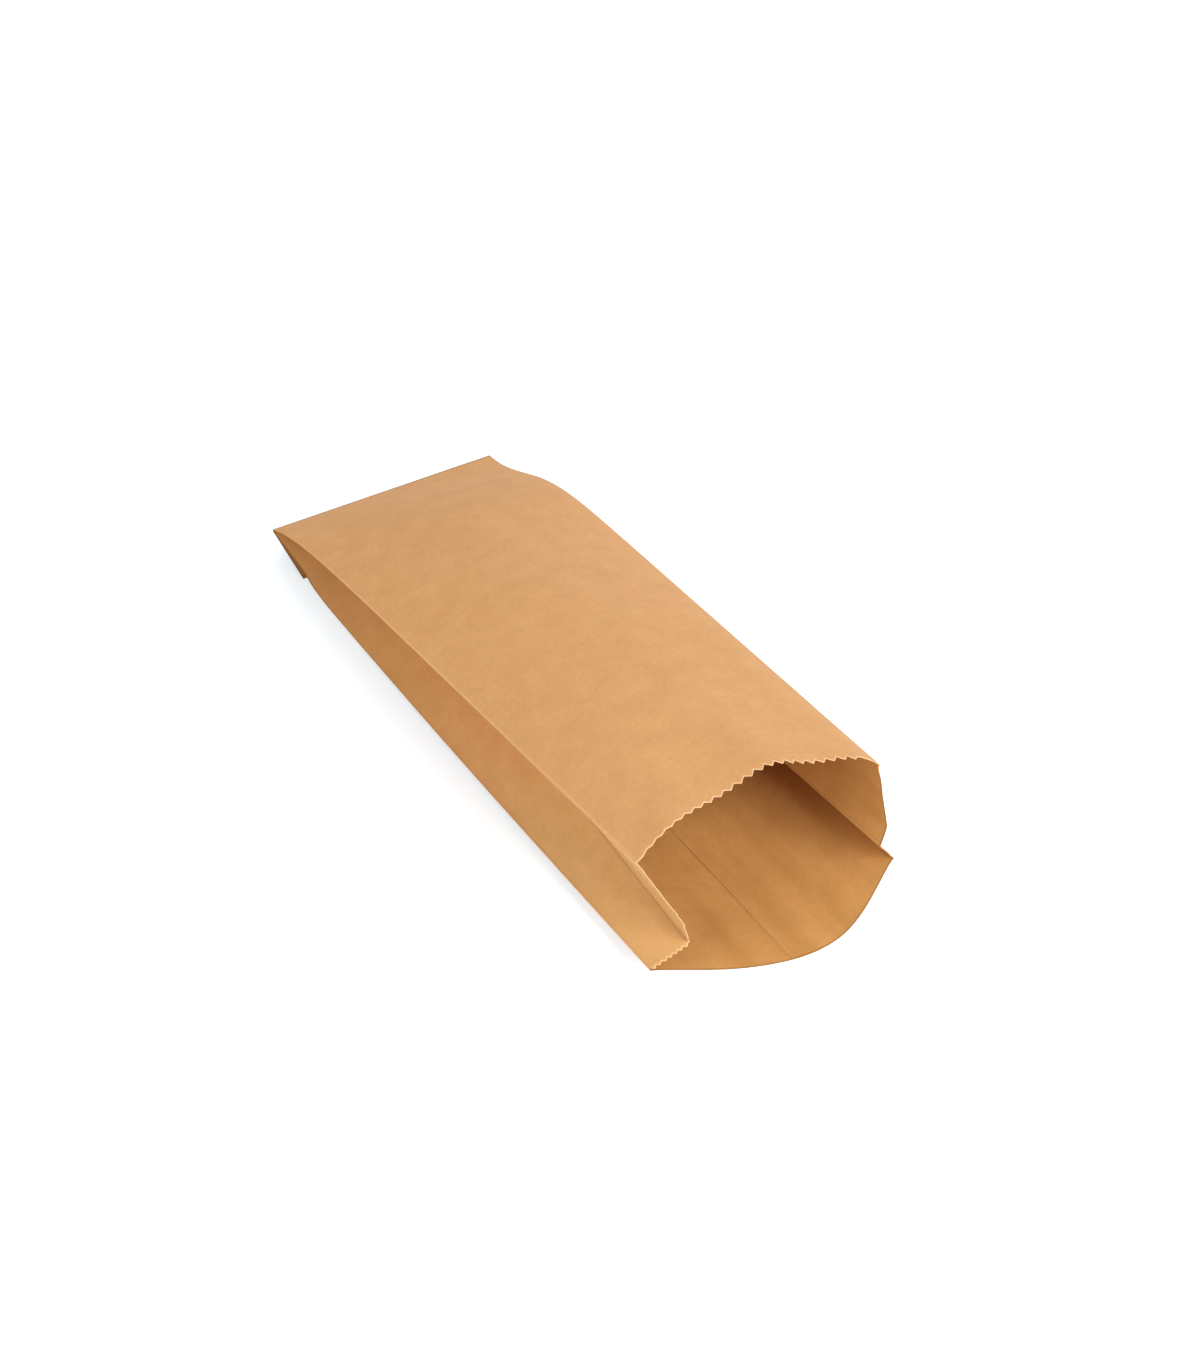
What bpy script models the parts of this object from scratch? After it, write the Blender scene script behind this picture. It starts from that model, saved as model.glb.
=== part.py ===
"""Brown paper lunch bag with side gussets and a pinch bottom, lying open on its back panel.

The bag is one folded and glued sheet. X runs across the panels, +Y runs from the mouth to
the pinched bottom, and Z is up. The origin is under the middle of the bag, on the surface
it lies on.
"""
import math

import bmesh
import bpy

# Driving sizes of the folded bag, in metres
PANEL_WIDTH = 0.095      # front and back panel, crease to crease
GUSSET_WIDTH = 0.057     # each side gusset, both halves together
BODY_LENGTH = 0.271      # zigzag cut to bottom fold, along the back panel
LIP_LENGTH = 0.0157      # how far the back panel's rounded lip passes the zigzag cut
FLAP_LENGTH = 0.025      # bottom end folded under and glued
PAPER = 0.00012          # thickness of the sheet
PLY_GAP = 0.00014        # air between plies where the bag is pinched flat
FLAP_PAPER = 0.0005      # the plies of the glued flap together
FOLD_PROUD = 0.00006     # how far the rolled bottom fold stands above the front panel
FLAP_OVERHANG = 0.0002   # the flap is this much wider than the pinched plies, each side
SEAM_PLACE = 0.045       # inner edge of the long glue seam, from the back left crease
SEAM_WIDTH = 0.012
SEAM_MARGIN = 0.0003     # the seam's upper ply stops this far inside the lip's edge
SEAM_SINK = 0.00002      # and sinks this far into the panel at the seam's other side

# Zigzag cut of the mouth: worn shallow by the left crease, plain by the right one
TOOTH_PITCH = 0.00396
TOOTH_DEPTH = 0.0019
GUSSET_TOOTH_DEPTH = 0.001
WORN_LENGTH = 0.045      # the front panel's teeth reach their full depth this far in
WORN_SHARE = 0.4         # share of the depth left at the crease
PLAIN_LENGTH = 0.0075    # no teeth on this end of the front panel, nor on the right gusset
CUT_MARGIN = 0.003       # plain paper between the last section and the tooth roots

# How the bag stands open: heights above the surface, at the mouth and at the bottom fold
FOLD_HEIGHT = 0.0076
LEFT_HEIGHT = 0.052      # front left crease at the mouth
RIGHT_HEIGHT = 0.0505    # front right crease at the mouth
LEFT_LIFT = 0.0055       # back left crease at the mouth
RIGHT_LIFT = 0.0083      # back right crease at the mouth
FRONT_BOW = 0.0145       # rise of the front panel between its creases
BOW_POWER = 0.85         # below 1 the panel rises steeply beside its creases
FRONT_LEFT_OUT = 0.0035  # front left crease leans out at the mouth
FRONT_RIGHT_IN = 0.0063  # front right crease leans in at the mouth
FRONT_SETBACK = 0.004    # front creases end this far behind the back panel's
ARCH_SETBACK = 0.005     # and the middle of the arched front panel this much further
SWAY = 0.001             # back creases bow this far towards the left, halfway along
FLAP_INSET = 0.0015      # back creases draw in where the flap ends
INSET_REACH = 0.03       # and come out again over this share of the bag's length
CREASE_ROLL = 0.001      # width of an opened crease at the mouth

# How a front crease climbs from the fold: a steady part and a quick one
LEFT_STEADY = 0.82       # share of the climb that is steady
LEFT_REACH = 0.079       # share of the length over which the quick part is done
LEFT_POWER = 1.0         # above 1 the quick part starts level
RIGHT_STEADY = 0.61
RIGHT_REACH = 0.147
RIGHT_POWER = 2.04

# Gusset mid folds at the mouth: distance in from the back crease, and height
LEFT_FOLD_IN = 0.014
LEFT_FOLD_HEIGHT = 0.0114
RIGHT_FOLD_IN = 0.0055
RIGHT_FOLD_HEIGHT = 0.0172
LEFT_DENT = 0.0019       # the upper half of a gusset bends here, in on the left side
RIGHT_DENT = -0.0029     # and out on the right
DENT_PLACE = 0.8
OPENING_POWER = 1.5      # how late the gussets open on the way to the mouth
PINCH_LIMIT = 0.3        # least depth of a gusset's fold, as a share of its half width

FLAT_SHARE = 0.3         # middle share of the back panel that lies flat
LIP_SKEW = 1.22          # above 1 the lip is longest right of the middle
LIP_ROUND = 1.17         # above 1 the lip runs out gently at the creases
TURN_MARGIN = 0.1        # a turn of the zigzag this close to a column's end is left out
ROLL_STEPS = 6
FRONT_COLUMNS = 12
GUSSET_COLUMNS = 5
BACK_COLUMNS = 14
STATIONS = (0.0, 0.05, 0.12, 0.22, 0.34, 0.46, 0.58, 0.69, 0.78, 0.85, 0.895, 0.925, 0.95, 0.972, 0.988, 1.0)

PLY = PAPER + PLY_GAP
FLAP_RISE = FOLD_HEIGHT - 3.0 * PLY - PAPER / 2.0 - FLAP_PAPER
FLAP_RUN = math.sqrt(FLAP_LENGTH ** 2 - FLAP_RISE ** 2)
FOLD_Y = BODY_LENGTH - FLAP_LENGTH + FLAP_RUN
FLAP_Y = FOLD_Y - FLAP_RUN


def mix(start, end, share):
    return start + (end - start) * share


def smooth(share):
    share = min(max(share, 0.0), 1.0)
    return share * share * (3.0 - 2.0 * share)


def crease_height(mouth_height, run, steady, reach, power):
    """Height of a front crease: it lifts quickly off the bottom fold, then steadily."""
    quick = 1.0 - math.exp(-((run / reach) ** power))
    return mix(FOLD_HEIGHT, mouth_height, steady * run + (1.0 - steady) * quick)


def back_height(y):
    """Height of the back panel's middle line."""
    if y > FLAP_Y:
        return PAPER / 2.0 + FLAP_PAPER + FLAP_RISE * (y - FLAP_Y) / FLAP_RUN
    return PAPER / 2.0 + FLAP_PAPER * smooth(1.0 - (FLAP_Y - y) / FLAP_LENGTH)


def corners(y):
    """The four creases of the section at y, each as (x, z)."""
    run = 1.0 - y / FOLD_Y
    lift = max(0.0, 1.0 - y / FLAP_Y)
    sway = SWAY * math.sin(math.pi * lift)
    inset = FLAP_INSET * smooth((FOLD_Y - y) / FLAP_LENGTH) * math.exp(-lift / INSET_REACH)
    left_z = crease_height(LEFT_HEIGHT, run, LEFT_STEADY, LEFT_REACH, LEFT_POWER)
    right_z = crease_height(RIGHT_HEIGHT, run, RIGHT_STEADY, RIGHT_REACH, RIGHT_POWER)
    front_left = (-FRONT_LEFT_OUT * run, left_z)
    front_right = (PANEL_WIDTH - FRONT_RIGHT_IN * run, right_z)
    back_right = (PANEL_WIDTH - inset - sway, back_height(y) + RIGHT_LIFT * lift)
    back_left = (inset - sway, back_height(y) + LEFT_LIFT * lift)
    return front_left, front_right, back_right, back_left


def front_panel(y, start, end):
    run = 1.0 - y / FOLD_Y
    bow = FRONT_BOW * (1.0 - (1.0 - run) ** 3)
    points = []
    for column in range(FRONT_COLUMNS + 1):
        share = column / FRONT_COLUMNS
        arch = max(0.0, math.sin(math.pi * share)) ** BOW_POWER
        setback = (FRONT_SETBACK + ARCH_SETBACK * arch) * run
        points.append((mix(start[0], end[0], share), y + setback, mix(start[1], end[1], share) + bow * arch))
    return points


def back_panel(y, start, end):
    """From the right crease to the left one, flat in the middle and lifted at the creases."""
    side = (1.0 - FLAT_SHARE) / 2.0
    points = []
    for column in range(BACK_COLUMNS + 1):
        share = column / BACK_COLUMNS
        right_part = max(0.0, 1.0 - share / side) ** 2
        left_part = max(0.0, 1.0 - (1.0 - share) / side) ** 2
        low = back_height(y)
        height = low + (start[1] - low) * right_part + (end[1] - low) * left_part
        points.append((mix(start[0], end[0], share), y, height))
    return points


def gusset(y, front, back, inward, fold_in, fold_height, dent):
    """Both halves of a gusset from its front crease to its back crease."""
    run = 1.0 - y / FOLD_Y
    roll = mix(PLY, CREASE_ROLL, run)
    height = front[1] - back[1]
    half = GUSSET_WIDTH / 2.0
    pinched_in = math.sqrt(max(half ** 2 - (height / 2.0) ** 2, (PINCH_LIMIT * half) ** 2))
    open_share = run ** OPENING_POWER
    fold_x = mix((front[0] + back[0]) / 2.0 + inward * pinched_in, back[0] + inward * fold_in, open_share)
    fold_z = mix((front[1] + back[1]) / 2.0, fold_height, open_share)
    top = (front[0], front[1] - roll)
    low = (back[0], back[1] + roll)
    upper_end = (fold_x, fold_z + roll / 2.0)
    lower_start = (fold_x, fold_z - roll / 2.0)
    setback = FRONT_SETBACK * run
    points = []
    for column in range(GUSSET_COLUMNS + 1):
        share = column / GUSSET_COLUMNS
        bend = share / DENT_PLACE if share < DENT_PLACE else (1.0 - share) / (1.0 - DENT_PLACE)
        x = mix(top[0], upper_end[0], share) + inward * dent * bend * run ** 2
        points.append((x, y + setback * (1.0 - share), mix(top[1], upper_end[1], share)))
    for column in range(GUSSET_COLUMNS + 1):
        share = column / GUSSET_COLUMNS
        points.append((mix(lower_start[0], low[0], share), y, mix(lower_start[1], low[1], share)))
    return points


def section(y):
    """One closed ring of points: front panel, right gusset, back panel, left gusset."""
    front_left, front_right, back_right, back_left = corners(y)
    right = gusset(y, front_right, back_right, -1.0, RIGHT_FOLD_IN, RIGHT_FOLD_HEIGHT, RIGHT_DENT)
    left = gusset(y, front_left, back_left, 1.0, LEFT_FOLD_IN, LEFT_FOLD_HEIGHT, LEFT_DENT)
    ring = front_panel(y, front_left, front_right)
    ring += right
    ring += back_panel(y, back_right, back_left)
    ring += reversed(left)
    return ring


def lip(share):
    """How far the back panel's edge passes the zigzag cut, from its right crease to its left."""
    return LIP_LENGTH * math.sin(math.pi * (1.0 - share) ** LIP_SKEW) ** LIP_ROUND


def front_teeth(distance):
    """Depth of the front panel's teeth at this distance from its left crease."""
    if distance > PANEL_WIDTH - PLAIN_LENGTH:
        return 0.0
    return TOOTH_DEPTH * mix(WORN_SHARE, 1.0, smooth(distance / WORN_LENGTH))


def gusset_teeth(distance):
    return GUSSET_TOOTH_DEPTH


def plain_cut(distance):
    return 0.0


def zigzag(distance, depth):
    """0 at a root, the depth at a tip."""
    phase = (distance / TOOTH_PITCH) % 1.0
    return depth * (1.0 - abs(2.0 * phase - 1.0))


def cut_stops(start, end):
    """The ends of one column and every turn of the zigzag well inside it."""
    half_pitch = TOOTH_PITCH / 2.0
    margin = half_pitch * TURN_MARGIN
    first = math.ceil((start + margin) / half_pitch)
    last = math.floor((end - margin) / half_pitch)
    return [start] + [turn * half_pitch for turn in range(first, last + 1)] + [end]


def add_mouth(bm, ring, edge):
    """The last strip of paper, from the first section to the cut edge."""
    cut = {}

    def cut_vert(place, point):
        place = round(place, 4) % len(ring)
        if place not in cut:
            cut[place] = bm.verts.new(point)
        return cut[place]

    half = GUSSET_WIDTH / 2.0
    stretches = [(FRONT_COLUMNS, PANEL_WIDTH, front_teeth),
                 (GUSSET_COLUMNS, half, plain_cut), (GUSSET_COLUMNS, half, plain_cut),
                 (BACK_COLUMNS, PANEL_WIDTH, None),
                 (GUSSET_COLUMNS, half, gusset_teeth), (GUSSET_COLUMNS, half, gusset_teeth)]
    first = 0
    for columns, width, teeth in stretches:
        for column in range(columns):
            low = width * column / columns
            high = width * (column + 1) / columns
            start, end = edge[first + column], edge[first + column + 1]
            outline = []
            for stop in cut_stops(low, high) if teeth else [low, high]:
                share = (stop - low) / (high - low)
                reach = zigzag(stop, teeth(stop)) if teeth else lip(stop / width)
                point = [mix(start[axis], end[axis], share) for axis in range(3)]
                point[1] -= reach
                outline.append(cut_vert(first + column + share, point))
            bm.faces.new([ring[first + column + 1], ring[first + column]] + outline)
        last = first + columns
        following = (last + 1) % len(ring)
        crease = [cut_vert(last, edge[last]), cut_vert(following, edge[following])]
        bm.faces.new([ring[following], ring[last]] + crease)
        first = last + 1


def sheet_mesh():
    """The sheet's middle surface: sections lofted from the mouth to the closed bottom."""
    bm = bmesh.new()
    rows = []
    for station in STATIONS:
        ring = section(mix(CUT_MARGIN, FOLD_Y, station))
        rows.append([bm.verts.new(point) for point in ring])
    count = len(rows[0])
    for near, far in zip(rows, rows[1:]):
        for column in range(count):
            following = (column + 1) % count
            bm.faces.new([near[column], near[following], far[following], far[column]])
    bm.faces.new(rows[-1])
    add_mouth(bm, rows[0], section(0.0))
    return bm


def flap_mesh():
    """The bottom end, rolled over the fold and glued under the back panel."""
    top = FOLD_HEIGHT + PAPER / 2.0 + FOLD_PROUD
    radius = (top - FLAP_RISE) / 2.0
    inner_y = FOLD_Y - PLY_GAP
    glued = FLAP_PAPER + PAPER / 2.0
    outline = [(FLAP_Y, 0.0), (FLAP_Y, glued), (inner_y, back_height(inner_y)), (inner_y, top)]
    for step in range(ROLL_STEPS + 1):
        turn = math.pi * (0.5 - step / ROLL_STEPS)
        outline.append((FOLD_Y + radius * math.cos(turn), FLAP_RISE + radius + radius * math.sin(turn)))
    bm = bmesh.new()
    side = bm.faces.new([bm.verts.new((-FLAP_OVERHANG, y, z)) for y, z in outline])
    swept = bmesh.ops.extrude_face_region(bm, geom=[side])
    moved = [item for item in swept["geom"] if isinstance(item, bmesh.types.BMVert)]
    bmesh.ops.translate(bm, verts=moved, vec=(PANEL_WIDTH + 2.0 * FLAP_OVERHANG, 0.0, 0.0))
    return bm


def seam_mesh():
    """The upper ply of the long seam: proud at its cut edge, level at the seam's other side."""
    end = -lip(1.0 - (SEAM_PLACE + SEAM_WIDTH / 2.0) / PANEL_WIDTH) + SEAM_MARGIN
    stops = [end] + [mix(CUT_MARGIN, FOLD_Y, station) for station in STATIONS]
    bm = bmesh.new()
    sides = []
    for x, rise in ((SEAM_PLACE, PAPER), (SEAM_PLACE + SEAM_WIDTH, -SEAM_SINK)):
        outline = [(x, y, back_height(y)) for y in stops]
        outline += [(x, y, back_height(y) + PAPER / 2.0 + rise) for y in reversed(stops)]
        sides.append([bm.verts.new(point) for point in outline])
        bm.faces.new(sides[-1])
    cut_side, level_side = sides
    for place in range(len(cut_side)):
        before = place - 1
        bm.faces.new([cut_side[before], cut_side[place], level_side[place], level_side[before]])
    return bm


def kraft_material():
    material = bpy.data.materials.new("brown_kraft")
    material.use_nodes = True
    shader = material.node_tree.nodes["Principled BSDF"]
    shader.inputs["Base Color"].default_value = (0.56, 0.33, 0.15, 1.0)
    shader.inputs["Roughness"].default_value = 0.8
    shader.inputs["Metallic"].default_value = 0.0
    return material


def new_object(name, bm, collection, material):
    bmesh.ops.recalc_face_normals(bm, faces=bm.faces)
    mesh = bpy.data.meshes.new(name)
    bm.to_mesh(mesh)
    bm.free()
    mesh.materials.append(material)
    built = bpy.data.objects.new(name, mesh)
    collection.objects.link(built)
    return built


def join(built, name, bm, collection, material):
    """A glued-on piece of the sheet, added to it as one solid."""
    joined = new_object(name, bm, collection, material)
    joined.hide_render = True
    joined.display_type = "WIRE"
    glue = built.modifiers.new(name, "BOOLEAN")
    glue.operation = "UNION"
    glue.object = joined
    return joined


def centre_over_origin(built, joined):
    """Puts the middle of the finished bag's box over the origin, with its lowest face at zero."""
    bpy.context.view_layer.update()
    shape = built.evaluated_get(bpy.context.evaluated_depsgraph_get())
    corners_of_box = [tuple(corner) for corner in shape.bound_box]
    low = [min(corner[axis] for corner in corners_of_box) for axis in range(3)]
    high = [max(corner[axis] for corner in corners_of_box) for axis in range(3)]
    for item in [built] + joined:
        item.location = (-(low[0] + high[0]) / 2.0, -(low[1] + high[1]) / 2.0, -low[2])


def main():
    for item in list(bpy.data.objects):
        bpy.data.objects.remove(item, do_unlink=True)
    bag_collection = bpy.data.collections.new("paper_lunch_bag")
    cutters = bpy.data.collections.new("cutters")
    for collection in (bag_collection, cutters):
        bpy.context.scene.collection.children.link(collection)
    kraft = kraft_material()

    bag = new_object("paper_bag", sheet_mesh(), bag_collection, kraft)
    wall = bag.modifiers.new("paper thickness", "SOLIDIFY")
    wall.thickness = PAPER
    wall.offset = 0.0
    wall.use_even_offset = True

    flap = join(bag, "glued_flap", flap_mesh(), cutters, kraft)
    seam = join(bag, "seam_lap", seam_mesh(), cutters, kraft)
    centre_over_origin(bag, [flap, seam])


main()
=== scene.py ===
import math

import bpy
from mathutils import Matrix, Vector


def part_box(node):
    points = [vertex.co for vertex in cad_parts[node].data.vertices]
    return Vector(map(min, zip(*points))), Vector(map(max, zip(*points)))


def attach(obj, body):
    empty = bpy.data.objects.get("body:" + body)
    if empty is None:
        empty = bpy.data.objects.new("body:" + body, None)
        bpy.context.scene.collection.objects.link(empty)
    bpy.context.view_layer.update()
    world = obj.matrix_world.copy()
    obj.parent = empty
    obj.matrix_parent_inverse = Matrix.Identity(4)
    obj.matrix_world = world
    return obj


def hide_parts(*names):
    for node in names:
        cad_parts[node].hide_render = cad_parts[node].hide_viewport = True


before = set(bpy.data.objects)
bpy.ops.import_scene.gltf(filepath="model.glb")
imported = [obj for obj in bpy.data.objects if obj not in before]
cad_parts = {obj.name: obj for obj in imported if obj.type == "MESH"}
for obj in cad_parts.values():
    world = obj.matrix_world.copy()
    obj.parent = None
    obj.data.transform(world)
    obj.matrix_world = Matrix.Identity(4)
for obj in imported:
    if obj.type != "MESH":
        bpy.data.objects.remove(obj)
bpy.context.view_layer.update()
print("frame loaded")


# One output of a node, so that a formula can be written as plain Python
class Value:
    def __init__(self, nodes, socket):
        self.nodes = nodes
        self.socket = socket

    def maths(self, operation, *others):
        return self.nodes.maths(operation, self, *others)

    def __add__(self, other):
        return self.maths("ADD", other)

    def __radd__(self, other):
        return self.nodes.maths("ADD", other, self)

    def __sub__(self, other):
        return self.maths("SUBTRACT", other)

    def __rsub__(self, other):
        return self.nodes.maths("SUBTRACT", other, self)

    def __mul__(self, other):
        return self.maths("MULTIPLY", other)

    def __rmul__(self, other):
        return self.nodes.maths("MULTIPLY", other, self)

    def __truediv__(self, other):
        return self.maths("DIVIDE", other)

    def __rtruediv__(self, other):
        return self.nodes.maths("DIVIDE", other, self)

    def __pow__(self, other):
        return self.maths("POWER", other)

    def __neg__(self):
        return self.maths("MULTIPLY", -1.0)


# A node tree, for shaders and for geometry alike; a node's settings are set before its values
class Nodes:
    def __init__(self, tree):
        self.tree = tree

    def node(self, kind, settings=None, values=None):
        made = self.tree.nodes.new(kind)
        for name, setting in (settings or {}).items():
            setattr(made, name, setting)
        for name, value in (values or {}).items():
            if isinstance(value, Value):
                self.tree.links.new(value.socket, made.inputs[name])
            else:
                made.inputs[name].default_value = value
        return made

    def output(self, made, name=0):
        return Value(self, made.outputs[name])

    def maths(self, operation, *values):
        made = self.node("ShaderNodeMath", {"operation": operation}, dict(enumerate(values)))
        return self.output(made)

    def split(self, vector):
        made = self.node("ShaderNodeSeparateXYZ", values={0: vector})
        return [self.output(made, axis) for axis in range(3)]

    def vector(self, x, y, z):
        return self.output(self.node("ShaderNodeCombineXYZ", values={0: x, 1: y, 2: z}))

    def noise(self, place, scale, detail=2.0, roughness=0.5):
        made = self.node("ShaderNodeTexNoise", values={
            "Vector": place, "Scale": scale, "Detail": detail, "Roughness": roughness})
        return self.output(made, 0)

    def blend(self, share, start, end, way="MIX"):
        # A Mix node keeps its colours behind its sockets for numbers and vectors
        made = self.node("ShaderNodeMix", {"data_type": "RGBA", "blend_type": way},
                         {0: share, 6: start, 7: end})
        return self.output(made, 2)


def mix(start, end, share):
    return start + (end - start) * share


def atLeast(value, low):
    return value.maths("MAXIMUM", low)


def atMost(value, high):
    return value.maths("MINIMUM", high)


def clamped(value):
    return atMost(atLeast(value, 0.0), 1.0)


def smooth(value):
    share = clamped(value)
    return share * share * (3.0 - 2.0 * share)


# Sizes of the folded sheet, in metres; each is a named input of its node tree
sheetSizes = {
    "panelWidth": 0.095,
    "gussetWidth": 0.057,
    "bodyLength": 0.271,
    "lipLength": 0.0157,
    "lipSkew": 1.22,         # above 1 the lip is longest right of the middle
    "lipRound": 1.17,
    "flapLength": 0.025,
    "paper": 0.00012,
    "plyGap": 0.00014,
    "flapPaper": 0.0005,
    "foldSlack": 1.1,        # room in the innermost fold, in thicknesses of the paper
    "toothDepth": 0.0019,
    "gussetToothDepth": 0.001,
    "wornLength": 0.052,     # the front panel's teeth are shallow by its left crease,
    "wornShare": 0.34,
    "plainLength": 0.0075,   # and it has none by its right one
    "foldHeight": 0.0076,    # of the front creases at the fold, and then at the mouth
    "leftHeight": 0.052,
    "rightHeight": 0.0505,
    "leftLift": 0.0055,      # of the back creases at the mouth
    "rightLift": 0.0083,
    "frontBow": 0.0145,      # height of the front panel's arch at the mouth
    "bowPower": 0.85,
    "frontLeftOut": 0.0035,
    "frontRightIn": 0.0063,
    "frontSetback": 0.004,   # how far the front panel's cut lies behind the back panel's
    "archSetback": 0.005,
    "sway": 0.001,           # how far the back creases curve to the left
    "flapInset": 0.0015,     # how much the back panel narrows before the flap
    "insetReach": 0.03,
    "leftSteady": 0.82,      # the front creases climb steadily by this share, and else quickly
    "leftReach": 0.079,
    "leftPower": 1.0,
    "rightSteady": 0.61,
    "rightReach": 0.147,
    "rightPower": 2.04,
    "creaseRoll": 0.001,     # height of the rounded creases at the mouth
    "openPower": 1.5,        # how late the gussets' mid folds leave their pinched place
    "leastPinch": 0.3,
    "leftFoldIn": 0.014,     # places of the mid folds at the mouth, and the gussets' dents there
    "leftFoldHeight": 0.0114,
    "rightFoldIn": 0.0055,
    "rightFoldHeight": 0.0172,
    "leftDent": 0.0019,
    "rightDent": -0.0029,
    "lapEdge": 0.045,        # inner edge of the seam, from the back left crease
    "lapWidth": 0.012,
    "lapRise": 1.1,          # the seam's upper ply, in thicknesses of the paper
    "lapSteepness": 30.0,
    "lipBlend": 0.04,        # how far into the bag the lip's curve reaches
    "buckle": 0.0007,        # how far the open panels swell and dip
    "buckleAcross": 2.0,
    "buckleAlong": 16.0,
    "buckleScale": 1.6,
    "waveFade": 6.0,
    "mouthWave1": -0.0010,   # the front panel's cut edge isn't an even arch: these add
    "mouthWave2": 0.0005,    # one half wave, two, and so on, fading out along the bag
    "mouthWave3": 0.0,
    "mouthWave4": -0.0007,
    "mouthWave5": 0.00105,
    "mouthWave6": 0.0006,
}
mouthWaves = 6
bucklePlaces = {"front": 3.1, "upper": 7.7, "lower": 5.3}   # each panel has its own buckles
sheetRows = {"body": 130, "turn": 6, "flap": 8}
sheetColumns = {"overSeam": 26, "panel": 48, "gusset": 14, "crease": 4, "underSeam": 30}
flatShare = 0.3              # the flat middle part of the back panel's width
dentPlace = 0.8              # where a gusset's upper half bends, from its front crease
startOfTurn = 0.0001         # in radians round the bottom fold
weldDistance = 0.00001
sharpAngle = math.radians(40.0)


def paperSheetTree(material):
    nodes = Nodes(bpy.data.node_groups.new("paperSheet", "GeometryNodeTree"))
    face = nodes.tree.interface
    face.new_socket("Sheet", in_out="OUTPUT", socket_type="NodeSocketGeometry")
    for name, value in sheetSizes.items():
        socket = face.new_socket(name, in_out="INPUT", socket_type="NodeSocketFloat")
        socket.default_value = value
    given = nodes.node("NodeGroupInput")
    size = {name: nodes.output(given, name) for name in sheetSizes}

    ply = size["paper"] + size["plyGap"]
    halfPaper = size["paper"] / 2.0
    flapRise = size["foldHeight"] - 3.0 * ply - halfPaper - size["flapPaper"]
    flapRun = (size["flapLength"] ** 2 - flapRise ** 2).maths("SQRT")
    flapPly = (size["flapPaper"] - size["paper"] * size["foldSlack"]) / 3.0
    foldY = size["bodyLength"] - size["flapLength"] + flapRun
    flapY = foldY - flapRun
    width = size["panelWidth"]

    # Each strip starts as a flat grid one unit square: across is its x, along is its y
    allRows = sum(sheetRows.values())
    place = nodes.split(nodes.output(nodes.node("GeometryNodeInputPosition")))
    across = place[0] + 0.5
    row = (place[1] + 0.5) * allRows
    bodyShare = clamped(row / sheetRows["body"])
    turn = clamped((row - sheetRows["body"]) / sheetRows["turn"]) * math.pi
    flapShare = clamped((row - sheetRows["body"] - sheetRows["turn"]) / sheetRows["flap"])
    atCut = clamped(1.0 - row)
    bodyY = bodyShare * foldY
    run = 1.0 - bodyShare

    def creaseHeight(name):
        steady = size[name + "Steady"]
        reached = (run / size[name + "Reach"]) ** size[name + "Power"]
        quick = 1.0 - (-reached).maths("EXPONENT")
        climbed = steady * run + (1.0 - steady) * quick
        return mix(size["foldHeight"], size[name + "Height"], climbed)

    onFlap = bodyY.maths("GREATER_THAN", flapY)
    rising = halfPaper + size["flapPaper"] + flapRise * (bodyY - flapY) / flapRun
    sinking = halfPaper + size["flapPaper"] * smooth(1.0 - (flapY - bodyY) / size["flapLength"])
    backZ = mix(sinking, rising, onFlap)
    lift = atLeast(1.0 - bodyY / flapY, 0.0)
    sway = size["sway"] * (lift * math.pi).maths("SINE")
    fading = (-lift / size["insetReach"]).maths("EXPONENT")
    inset = size["flapInset"] * smooth((foldY - bodyY) / size["flapLength"]) * fading
    frontLeft = (-size["frontLeftOut"] * run, creaseHeight("left"))
    frontRight = (width - size["frontRightIn"] * run, creaseHeight("right"))
    backRight = (width - inset - sway, backZ + size["rightLift"] * lift)
    backLeft = (inset - sway, backZ + size["leftLift"] * lift)

    roll = mix(ply, size["creaseRoll"], run)

    def buckle(seedPlace):
        spot = nodes.vector(across * size["buckleAcross"] + seedPlace,
                            bodyY * size["buckleAlong"], seedPlace)
        swell = (nodes.noise(spot, size["buckleScale"], 1.0) - 0.5) * 2.0
        return swell * size["buckle"] * run ** 0.5 * (across * math.pi).maths("SINE")

    def frontPanel():
        arch = atLeast((across * math.pi).maths("SINE"), 0.0) ** size["bowPower"]
        bow = size["frontBow"] * (1.0 - (1.0 - run) ** 3)
        z = mix(frontRight[1], frontLeft[1], across) + bow * arch
        z = z + buckle(bucklePlaces["front"])
        for count in range(1, mouthWaves + 1):
            wave = (across * (math.pi * count)).maths("SINE")
            z = z + size["mouthWave%d" % count] * wave * run ** size["waveFade"]
        setback = (size["frontSetback"] + size["archSetback"] * arch) * run
        return mix(frontRight[0], frontLeft[0], across), bodyY + setback, z, bodyY

    def backPanel(start, end, lapped):
        fromRight = mix(start, end, across)
        side = (1.0 - flatShare) / 2.0
        rightPart = atLeast(1.0 - fromRight / side, 0.0) ** 2
        leftPart = atLeast(1.0 - (1.0 - fromRight) / side, 0.0) ** 2
        z = backZ + (backRight[1] - backZ) * rightPart + (backLeft[1] - backZ) * leftPart
        lapStart = 1.0 - (size["lapEdge"] + size["lapWidth"]) / width
        if lapped:
            onLap = smooth((fromRight - lapStart) * size["lapSteepness"] + 0.5)
            z = z + size["paper"] * size["lapRise"] * onLap
        skewed = (1.0 - fromRight) ** size["lipSkew"]
        lip = size["lipLength"] * (skewed * math.pi).maths("SINE") ** size["lipRound"]
        y = bodyY - lip * atLeast(1.0 - bodyY / size["lipBlend"], 0.0) ** 2
        return mix(backRight[0], backLeft[0], fromRight), y, z, y + lip

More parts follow.
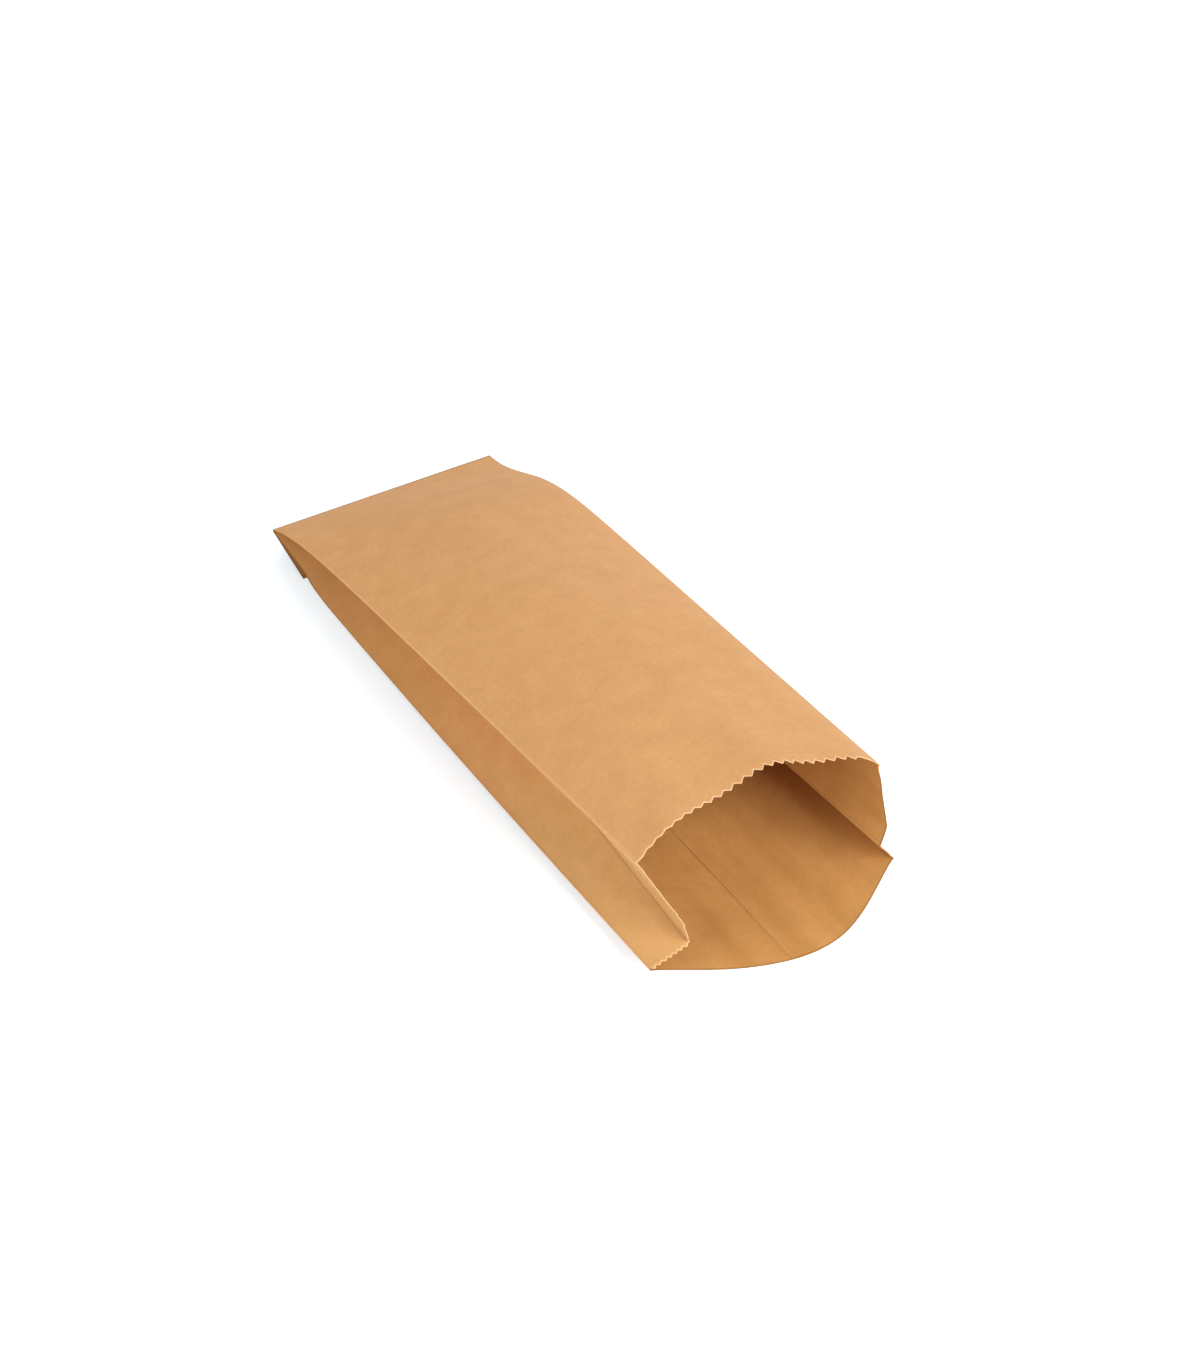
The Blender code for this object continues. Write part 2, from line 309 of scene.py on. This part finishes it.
    # The gussets' creases run down from the front panel on the left and up to it on the right
    def gussetParts(front, back, inward, name):
        half = size["gussetWidth"] / 2.0
        dent = size[name + "Dent"]
        height = front[1] - back[1]
        pinched = atLeast(half ** 2 - (height / 2.0) ** 2, 0.0).maths("SQRT")
        pinched = atLeast(pinched, size["leastPinch"] * half)
        opened = run ** size["openPower"]
        pinchedX = (front[0] + back[0]) / 2.0 + inward * pinched
        foldX = mix(pinchedX, back[0] + inward * size[name + "FoldIn"], opened)
        foldZ = mix((front[1] + back[1]) / 2.0, size[name + "FoldHeight"], opened)
        setback = size["frontSetback"] * run
        bulge = (across * math.pi).maths("SINE") * roll / 2.0
        down = 0.5 - inward * 0.5 * (across * math.pi).maths("COSINE")

        def upper(share):
            bend = atMost(share / dentPlace, (1.0 - share) / (1.0 - dentPlace))
            x = mix(front[0], foldX, share) + inward * dent * bend * run ** 2
            x = x + buckle(bucklePlaces["upper"] * inward)
            z = mix(front[1] - roll, foldZ + roll / 2.0, share)
            return x, bodyY + setback * (1.0 - share), z, bodyY

        def lower(share):
            x = mix(foldX, back[0], share) + buckle(bucklePlaces["lower"] * inward)
            return x, bodyY, mix(foldZ - roll / 2.0, back[1] + roll, share), bodyY

        def crease(x, high, low, side, setY):
            z = mix(high, low, down)
            return x + side * bulge, bodyY + setY, z, bodyY

        foldTop, foldFoot = foldZ + roll / 2.0, foldZ - roll / 2.0
        return {
            "top": lambda: crease(front[0], front[1], front[1] - roll, -inward, setback),
            "upper": lambda: upper(across),
            "upperBack": lambda: upper(1.0 - across),
            "middle": lambda: crease(foldX, foldTop, foldFoot, inward, 0.0),
            "lower": lambda: lower(across),
            "lowerBack": lambda: lower(1.0 - across),
            "bottom": lambda: crease(back[0], back[1] + roll, back[1], -inward, 0.0),
        }

    half = size["gussetWidth"] / 2.0
    right = gussetParts(frontRight, backRight, -1.0, "right")
    left = gussetParts(frontLeft, backLeft, 1.0, "left")
    lapShare = 1.0 - size["lapEdge"] / width
    underShare = 1.0 - (size["lapEdge"] + size["lapWidth"]) / width

    overSeam, panel, side, crease, underSeam = sheetColumns.values()
    # Round the bag from the seam: shape, columns, width on the flat sheet, depth of the teeth
    noTeeth = 0.0
    fromLeft = (1.0 - across) * width
    wearAndHighlight = mix(size["wornShare"], 1.0, smooth(fromLeft / size["wornLength"]))
    zigzag = fromLeft.maths("LESS_THAN", width - size["plainLength"])
    frontTeeth = size["toothDepth"] * wearAndHighlight * zigzag
    strips = [
        (backPanel(lapShare, 0.0, True), overSeam, width * lapShare, noTeeth),
        (right["bottom"](), crease, roll, noTeeth),
        (right["lowerBack"](), side, half, noTeeth),
        (right["middle"](), crease, roll, noTeeth),
        (right["upperBack"](), side, half, noTeeth),
        (right["top"](), crease, roll, noTeeth),
        (frontPanel(), panel, width, frontTeeth),
        (left["top"](), crease, roll, noTeeth),
        (left["upper"](), side, half, size["gussetToothDepth"]),
        (left["middle"](), crease, roll, noTeeth),
        (left["lower"](), side, half, size["gussetToothDepth"]),
        (left["bottom"](), crease, roll, noTeeth),
        (backPanel(1.0, underShare, False), underSeam, width * (1.0 - underShare), noTeeth),
    ]

    joined = nodes.node("GeometryNodeJoinGeometry")
    travelled = 0.0
    for (x, y, zTop, inward), columns, stripWidth, toothDepth in strips:
        tooth = (across * columns).maths("PINGPONG", 1.0) * toothDepth
        plyNumber = (size["foldHeight"] - zTop) / ply
        under = flapRise + halfPaper + plyNumber * flapPly
        radius = (zTop - under) / 2.0
        bent = turn.maths("GREATER_THAN", startOfTurn)
        finalY = y - tooth * atCut + bent * radius * turn.maths("SINE") - flapShare * flapRun
        finalZ = zTop - bent * radius * (1.0 - turn.maths("COSINE")) - flapShare * flapRise
        along = inward + flapShare * size["flapLength"]
        fromCrease = atMost(across, 1.0 - across) * stripWidth
        grid = nodes.node("GeometryNodeMeshGrid", values={
            "Size X": 1.0, "Size Y": 1.0, "Vertices X": columns + 1, "Vertices Y": allRows + 1})
        flat = nodes.vector(travelled + across * stripWidth, along - tooth * atCut, fromCrease)
        kept = nodes.node("GeometryNodeStoreNamedAttribute", {"data_type": "FLOAT_VECTOR"}, {
            "Geometry": nodes.output(grid), "Name": "flat", "Value": flat})
        cut = nodes.node("GeometryNodeStoreNamedAttribute", {"data_type": "FLOAT"}, {
            "Geometry": nodes.output(kept), "Name": "fromCut",
            "Value": along + tooth * (1.0 - atCut)})
        moved = nodes.node("GeometryNodeSetPosition", values={
            "Geometry": nodes.output(cut), "Position": nodes.vector(x, finalY, finalZ)})
        nodes.tree.links.new(moved.outputs[0], joined.inputs[0])
        travelled = travelled + stripWidth
    welded = nodes.node("GeometryNodeMergeByDistance", values={
        "Geometry": nodes.output(joined), "Distance": weldDistance})
    plain = nodes.node("GeometryNodeRealizeInstances", values={0: nodes.output(welded)})
    painted = nodes.node("GeometryNodeSetMaterial", values={
        "Geometry": nodes.output(plain), "Material": material})
    nodes.node("NodeGroupOutput", values={0: nodes.output(painted)})
    return nodes.tree


def meshFrom(name, item):
    shape = item.evaluated_get(bpy.context.evaluated_depsgraph_get())
    made = bpy.data.meshes.new_from_object(shape)
    made.name = name
    return made


def makeSheet(material):
    bag = bpy.data.objects.new("folded_sheet", bpy.data.meshes.new("folded_sheet"))
    bpy.context.scene.collection.objects.link(bag)
    tree = paperSheetTree(material)
    grown = bag.modifiers.new("sheet", "NODES")
    grown.node_group = tree
    for socket in tree.interface.items_tree:
        if socket.in_out == "INPUT":
            grown[socket.identifier] = sheetSizes[socket.name]
    wall = bag.modifiers.new("thickness", "SOLIDIFY")
    wall.thickness = sheetSizes["paper"]
    wall.offset = 0.0
    mesh = meshFrom("folded_sheet", bag)
    bag.modifiers.clear()
    bag.data = mesh
    # The sheet is drawn from its back left corner; it goes where the solid it stands for lies
    low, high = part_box("paper_bag")
    corners = [vertex.co for vertex in mesh.vertices]
    ownLow = [min(corner[axis] for corner in corners) for axis in range(3)]
    ownHigh = [max(corner[axis] for corner in corners) for axis in range(3)]
    shift = Vector(((low[0] + high[0] - ownLow[0] - ownHigh[0]) / 2.0,
                    (low[1] + high[1] - ownLow[1] - ownHigh[1]) / 2.0, low[2] - ownLow[2]))
    for vertex in mesh.vertices:
        vertex.co += shift
    # The thickness doubles the sheet: the half of its corners that reaches less high is inside
    half = len(corners) // 2
    firstTop = max(corner[2] for corner in corners[:half])
    firstInside = firstTop < max(corner[2] for corner in corners[half:])
    inside = mesh.attributes.new("inside", "FLOAT", "POINT")
    for number, item in enumerate(inside.data):
        item.value = 1.0 if (number < half) == firstInside else 0.0
    mesh.shade_smooth()
    mesh.set_sharp_from_angle(angle=sharpAngle)
    moved = [round(value * 1000.0, 2) for value in shift]
    print("sheet:", len(mesh.polygons), "faces, moved by", moved, "mm")
    return bag


def within(value, low, high, soft):
    return smooth((value - low) / soft + 0.5) * smooth((high - value) / soft + 0.5)


# Colours are linear; sizes of the pattern are in metres on the flat sheet
kraft = {
    "deep": (0.570, 0.285, 0.106, 1.0),
    "pale": (0.670, 0.355, 0.145, 1.0),
    "fleck": (0.400, 0.195, 0.075, 1.0),
    # also the tint of the painted highlight on the front left crease
    "frayed": (0.850, 0.560, 0.300, 1.0),
    # painted shade on the plain cut edges, the creases, the seam's edges and the bottom fold
    "dark": (0.200, 0.085, 0.020, 1.0),
    # painted shade: multiplies the inner face and the gussets' pinched ends
    "paintedShadeTint": (0.91, 0.885, 0.69, 1.0),
    "gussetTint": (0.95, 1.04, 1.03, 1.0),
    "roughness": 0.74,
    "roughnessRange": 0.2,
    "specular": 0.2,
    "cloudSize": 0.010,
    "cloudShare": 1.0,
    "cloudHeight": 0.10,     # heights are in millimetres
    "pulpSize": 0.0022,
    "pulpShare": 0.9,
    "pulpHeight": 0.012,
    "fibreSize": 0.0007,
    "fibreStretch": 0.3,     # fibres lie along the bag
    "fibreShare": 0.7,
    "fibreHeight": 0.006,
    "streakSize": 0.010,     # broad soft streaks, stronger on the inner face
    "streakStretch": 0.18,
    "streakPlace": 7.0,
    "streakShare": 0.3,
    "insideStreak": 2.3,
    "fleckSize": 0.0009,
    "fleckFrom": 0.64,
    "fleckContrast": 12.0,
    "fleckShare": 0.14,
    "frayWidth": 0.0010,
    "frayShare": 0.7,
    "frayFibre": 0.4,
    # painted shade along the plain cut edges
    "edgeShadeShare": 0.6,
    "creaseWidth": 0.0005,
    # painted highlight along the front left crease
    "creaseHighlight": 0.22,
    # painted shade along the creases other than the front left one, more of it by the fold; it
    # also darkens the seam's edges
    "creaseShade": 0.18,
    "creaseShadeByFold": 0.5,
    # painted shade over the bottom fold and the flap
    "foldShadeShare": 0.7,
    # painted shade on the gussets towards the pinched end
    "gussetShadeShare": 0.55,
    # Places along the cut, from the seam round the bag
    "borderSoft": 0.003,
    "backTo": 0.050,
    "toothedFrom": 0.106,
    "frontFrom": 0.106,
    "frontMiddle": 0.155,
    "frontTo": 0.207,
    "toothedTo": 0.264,
    # Places from the cut towards the fold: start and length
    "gussetShadeGrowth": (0.03, 0.16),
    "tintFading": (0.06, 0.06),
    "creaseShadeGrowth": (0.2, 0.06),
    "turning": (0.2692, 0.0012),
    "highlightTo": 0.25,
    "highlightSoft": 0.01,
}


def grows(value, startAndLength):
    start, length = startAndLength
    return smooth((value - start) / length)


def kraftMaterial():
    material = bpy.data.materials.new("brown_kraft")
    material.use_nodes = True
    nodes = Nodes(material.node_tree)
    shader = material.node_tree.nodes["Principled BSDF"]

    def attribute(name, kind):
        return nodes.output(nodes.node("ShaderNodeAttribute", {"attribute_name": name}), kind)

    def between(start, end):
        return within(around, kraft[start], kraft[end], kraft["borderSoft"])

    around, along, fromCrease = nodes.split(attribute("flat", "Vector"))
    inside = attribute("inside", "Fac")
    sheet = nodes.vector(around, along, 0.0)
    drawn = nodes.vector(around, along * kraft["fibreStretch"], 0.0)
    lengthwise = nodes.vector(around, along * kraft["streakStretch"], kraft["streakPlace"])

    cloud = nodes.noise(sheet, 1.0 / kraft["cloudSize"], 2.0)
    pulp = nodes.noise(sheet, 1.0 / kraft["pulpSize"], 3.0, 0.6)
    fibre = nodes.noise(drawn, 1.0 / kraft["fibreSize"], 3.0, 0.65)
    fleck = nodes.noise(drawn, 1.0 / kraft["fleckSize"], 1.0)
    streak = nodes.noise(lengthwise, 1.0 / kraft["streakSize"], 2.0)
    tone = 0.5 + (cloud - 0.5) * kraft["cloudShare"] + (pulp - 0.5) * kraft["pulpShare"]
    tone = tone + (fibre - 0.5) * kraft["fibreShare"]
    tone = tone + (streak - 0.5) * (kraft["streakShare"] + kraft["insideStreak"] * inside)
    colour = nodes.blend(clamped(tone), kraft["deep"], kraft["pale"])

    # Painted shade: the inner face is darkened and made more saturated, and so are the gussets
    # towards the pinched end; by the mouth the gussets' outer faces are tinted a little yellower
    onFront = between("frontFrom", "frontTo")
    onBack = 1.0 - between("backTo", "toothedTo")
    onGusset = clamped(1.0 - onFront - onBack)
    gussetShade = onGusset * grows(along, kraft["gussetShadeGrowth"]) * kraft["gussetShadeShare"]
    paintedShade = atMost(inside + gussetShade, 1.0)
    colour = nodes.blend(paintedShade, colour, kraft["paintedShadeTint"], "MULTIPLY")
    nearMouth = onGusset * (1.0 - inside) * (1.0 - grows(along, kraft["tintFading"]))
    colour = nodes.blend(nearMouth, colour, kraft["gussetTint"], "MULTIPLY")
    flecked = smooth((fleck - kraft["fleckFrom"]) * kraft["fleckContrast"])
    colour = nodes.blend(flecked * kraft["fleckShare"], colour, kraft["fleck"])

    # The toothed edges are frayed light; along the plain ones runs a dark line of painted shade
    toothed = between("toothedFrom", "toothedTo")
    edge = 1.0 - smooth(attribute("fromCut", "Fac") / kraft["frayWidth"])
    frayed = edge * toothed * (kraft["frayShare"] + kraft["frayFibre"] * fibre)
    colour = nodes.blend(frayed, colour, kraft["frayed"])
    edgeShade = edge * (1.0 - toothed) * kraft["edgeShadeShare"]
    colour = nodes.blend(edgeShade, colour, kraft["dark"])

    # Painted highlight along the front left crease; painted shade along the other creases, more
    # of it by the fold, and the same darkening along the seam's edges
    crease = 1.0 - smooth(fromCrease / kraft["creaseWidth"])
    beforeFold = within(along, 0.0, kraft["highlightTo"], kraft["highlightSoft"])
    lightCrease = between("frontMiddle", "frontTo")
    wearAndHighlight = crease * lightCrease * beforeFold * kraft["creaseHighlight"]
    colour = nodes.blend(wearAndHighlight, colour, kraft["frayed"])
    paintedCreaseShade = kraft["creaseShade"] + kraft["creaseShadeByFold"] * grows(along, kraft["creaseShadeGrowth"])
    colour = nodes.blend(crease * (1.0 - lightCrease) * paintedCreaseShade, colour, kraft["dark"])
    # Painted shade over the bottom fold and the flap
    foldShade = grows(along, kraft["turning"])
    colour = nodes.blend(foldShade * kraft["foldShadeShare"], colour, kraft["dark"])

    height = cloud * kraft["cloudHeight"] + pulp * kraft["pulpHeight"]
    height = (height + fibre * kraft["fibreHeight"]) * 0.001
    bump = nodes.node("ShaderNodeBump", values={
        "Strength": 1.0, "Distance": 1.0, "Height": height})
    roughness = kraft["roughness"] + (fibre - 0.5) * kraft["roughnessRange"]
    links = material.node_tree.links
    links.new(colour.socket, shader.inputs["Base Color"])
    links.new(nodes.output(bump).socket, shader.inputs["Normal"])
    links.new(roughness.socket, shader.inputs["Roughness"])
    shader.inputs["Specular IOR Level"].default_value = kraft["specular"]
    print("material:", len(material.node_tree.nodes), "nodes")
    return material


studio = {
    "worldLevel": 0.31,
    "lamps": (               # place, size, power
        ((0.29, -1.03, 0.62), 0.8, 14.3),
        ((-0.90, -0.15, 0.50), 0.9, 6.2),
        ((0.65, 0.75, 0.55), 0.9, 6.6),
        ((0.0, -1.2, 0.28), 0.6, 3.8),     # low, so that it reaches into the mouth
    ),
    "floorSize": 3.0,
    "floorColour": (0.95, 0.95, 0.95, 1.0),
    "floorRoughness": 0.9,
    "nearGlow": (0.28, 0.37, 0.42, 1.0),   # makes the floor read as white, and lights nothing
    "farGlow": (1.0, 1.0, 1.0, 1.0),
    "farFrom": 0.3,
    "farWidth": 0.5,
}


def seenRays(nodes):
    rays = nodes.node("ShaderNodeLightPath")
    seen = nodes.output(rays, "Is Camera Ray") + nodes.output(rays, "Is Glossy Ray")
    return clamped(seen + nodes.output(rays, "Is Transmission Ray"))


def makeStudio():
    world = bpy.data.worlds.new("studio")
    world.use_nodes = True
    bpy.context.scene.world = world
    nodes = Nodes(world.node_tree)
    back = world.node_tree.nodes["Background"]
    back.inputs["Color"].default_value = (1.0, 1.0, 1.0, 1.0)
    level = mix(studio["worldLevel"], 1.0, seenRays(nodes))
    world.node_tree.links.new(level.socket, back.inputs["Strength"])

    floorMaterial = bpy.data.materials.new("white_floor")
    floorMaterial.use_nodes = True
    nodes = Nodes(floorMaterial.node_tree)
    shader = floorMaterial.node_tree.nodes["Principled BSDF"]
    shader.inputs["Base Color"].default_value = studio["floorColour"]
    shader.inputs["Roughness"].default_value = studio["floorRoughness"]
    x, y, z = nodes.split(nodes.output(nodes.node("ShaderNodeTexCoord"), "Object"))
    fromBag = (x * x + y * y) ** 0.5
    far = smooth((fromBag - studio["farFrom"]) / studio["farWidth"])
    glow = nodes.blend(far, studio["nearGlow"], studio["farGlow"])
    links = floorMaterial.node_tree.links
    links.new(glow.socket, shader.inputs["Emission Color"])
    links.new(seenRays(nodes).socket, shader.inputs["Emission Strength"])
    reach = studio["floorSize"]
    turns = ((-1, -1), (1, -1), (1, 1), (-1, 1))
    mesh = bpy.data.meshes.new("floor")
    mesh.from_pydata([(reach * x, reach * y, 0.0) for x, y in turns], [], [(0, 1, 2, 3)])
    mesh.materials.append(floorMaterial)
    floor = bpy.data.objects.new("floor", mesh)
    bpy.context.scene.collection.objects.link(floor)

    for number, (place, lampSize, power) in enumerate(studio["lamps"]):
        name = "soft_lamp_%d" % (number + 1)
        lamp = bpy.data.lights.new(name, "AREA")
        lamp.shape = "DISK"
        lamp.size = lampSize
        lamp.energy = power
        held = bpy.data.objects.new(name, lamp)
        held.location = place
        held.rotation_euler = Vector(place).to_track_quat("Z", "Y").to_euler()
        bpy.context.scene.collection.objects.link(held)
    print("studio:", len(studio["lamps"]), "lamps")


view = {
    "aim": (0.0017, 0.0138, 0.020),
    "place": (-0.4106, -0.6794, 0.6808),
    "lens": 76.75,
    "sensor": 36.0,
    "shift": (0.0343, -0.0277),
}


def makeCamera():
    data = bpy.data.cameras.new("camera")
    data.lens = view["lens"]
    data.sensor_width = view["sensor"]
    data.shift_x, data.shift_y = view["shift"]
    camera = bpy.data.objects.new("camera", data)
    camera.location = view["place"]
    line = Vector(view["aim"]) - Vector(view["place"])
    camera.rotation_euler = line.to_track_quat("-Z", "Y").to_euler()
    bpy.context.scene.collection.objects.link(camera)
    bpy.context.scene.camera = camera
    bpy.context.scene.view_settings.view_transform = "Standard"
    print("camera placed")


makeCamera()
makeStudio()
kraftPaper = kraftMaterial()
bag = makeSheet(kraftPaper)
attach(bag, "root")
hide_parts("paper_bag")
